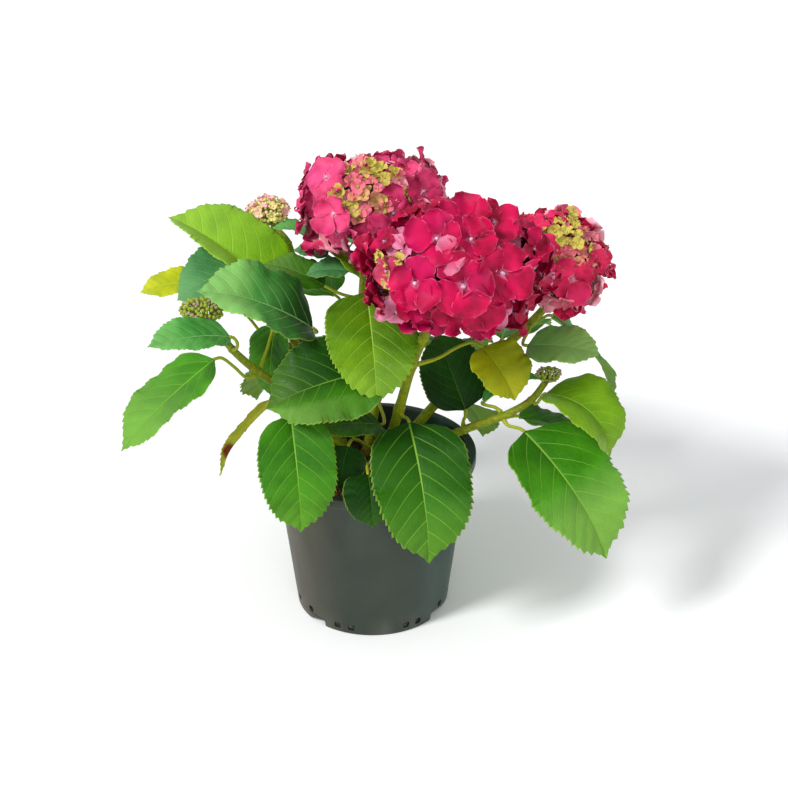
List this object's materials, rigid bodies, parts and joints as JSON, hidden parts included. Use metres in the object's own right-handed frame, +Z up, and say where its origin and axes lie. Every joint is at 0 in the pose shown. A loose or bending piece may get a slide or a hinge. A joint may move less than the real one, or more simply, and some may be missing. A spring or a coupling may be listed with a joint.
{
  "type": "potted mophead hydrangea shrub",
  "caption": "Young mophead hydrangea with crimson flower heads, broad toothed leaves and green canes, standing in a plain round plastic nursery pot",
  "frame": {"origin": "middle of the pot's flat underside, on the ground plane", "axes": "+Z up, -Y towards the front that the picture shows, +X to its right"},
  "size_m": [0.4598, 0.4044, 0.4338],
  "materials": {
    "pot": "satin",
    "potting_soil": "matte",
    "woody_cane": "matte",
    "green_cane": "satin",
    "bloom_crimson": "matte",
    "bloom_pink": "matte",
    "flower_buds": "matte",
    "leaf_mid": "satin",
    "leaf_deep": "satin",
    "leaf_olive": "satin",
    "leaf_dark": "satin",
    "leaf_fresh": "satin",
    "leaf_lime": "satin",
    "leaf_teal": "satin",
    "leaf_yellow": "satin",
    "leaf_light": "satin"
  },
  "bodies": {
    "root": {"pot": "pot", "potting_soil": "potting_soil", "cane_centre": "woody_cane", "cane_back": "green_cane", "cane_left": "green_cane", "cane_rear_left": "green_cane", "cane_right": "green_cane", "cane_rear_right": "green_cane", "cane_rear": "green_cane", "bloom_front": "bloom_crimson", "bloom_back": "bloom_pink", "bloom_right": "bloom_crimson", "bud_top_left": "flower_buds", "bud_left": "flower_buds", "bud_right": "flower_buds", "bud_rear": "flower_buds", "leaf_front_centre": "leaf_mid", "leaf_left_centre": "leaf_deep", "leaf_right_centre": "leaf_olive", "leaf_under_bloom": "leaf_dark", "leaf_low_front": "leaf_dark", "leaf_low_shaded": "leaf_dark", "leaf_low_left": "leaf_deep", "leaf_centre_bright": "leaf_fresh", "leaf_under_pink_bloom": "leaf_lime", "leaf_left_inner": "leaf_teal", "leaf_left_grey": "leaf_teal", "leaf_left_top": "leaf_lime", "leaf_left_behind": "leaf_deep", "leaf_left_back": "leaf_teal", "leaf_left_yellow": "leaf_yellow", "leaf_left_large": "leaf_light", "leaf_left_drooping": "leaf_mid", "leaf_left_hanging": "leaf_deep", "leaf_left_edge": "leaf_light", "leaf_left_curled": "leaf_olive", "leaf_front_left": "leaf_mid", "leaf_right_dark": "leaf_dark", "leaf_right_arching": "leaf_light", "leaf_front_right": "leaf_mid", "leaf_right_under": "leaf_deep", "leaf_right_olive": "leaf_fresh", "leaf_right_pale": "leaf_light", "leaf_right_outer": "leaf_mid", "leaf_right_lime": "leaf_lime", "leaf_rim_right": "leaf_deep", "leaf_rear_low": "leaf_mid", "leaf_rear_low_left": "leaf_deep", "leaf_rear_right": "leaf_mid", "leaf_rear_left": "leaf_mid", "leaf_rear_upper": "leaf_light", "leaf_rear_upper_left": "leaf_light", "leaf_rear_right_low": "leaf_deep", "leaf_rear_right_upper": "leaf_mid"}
  },
  "joints": []
}
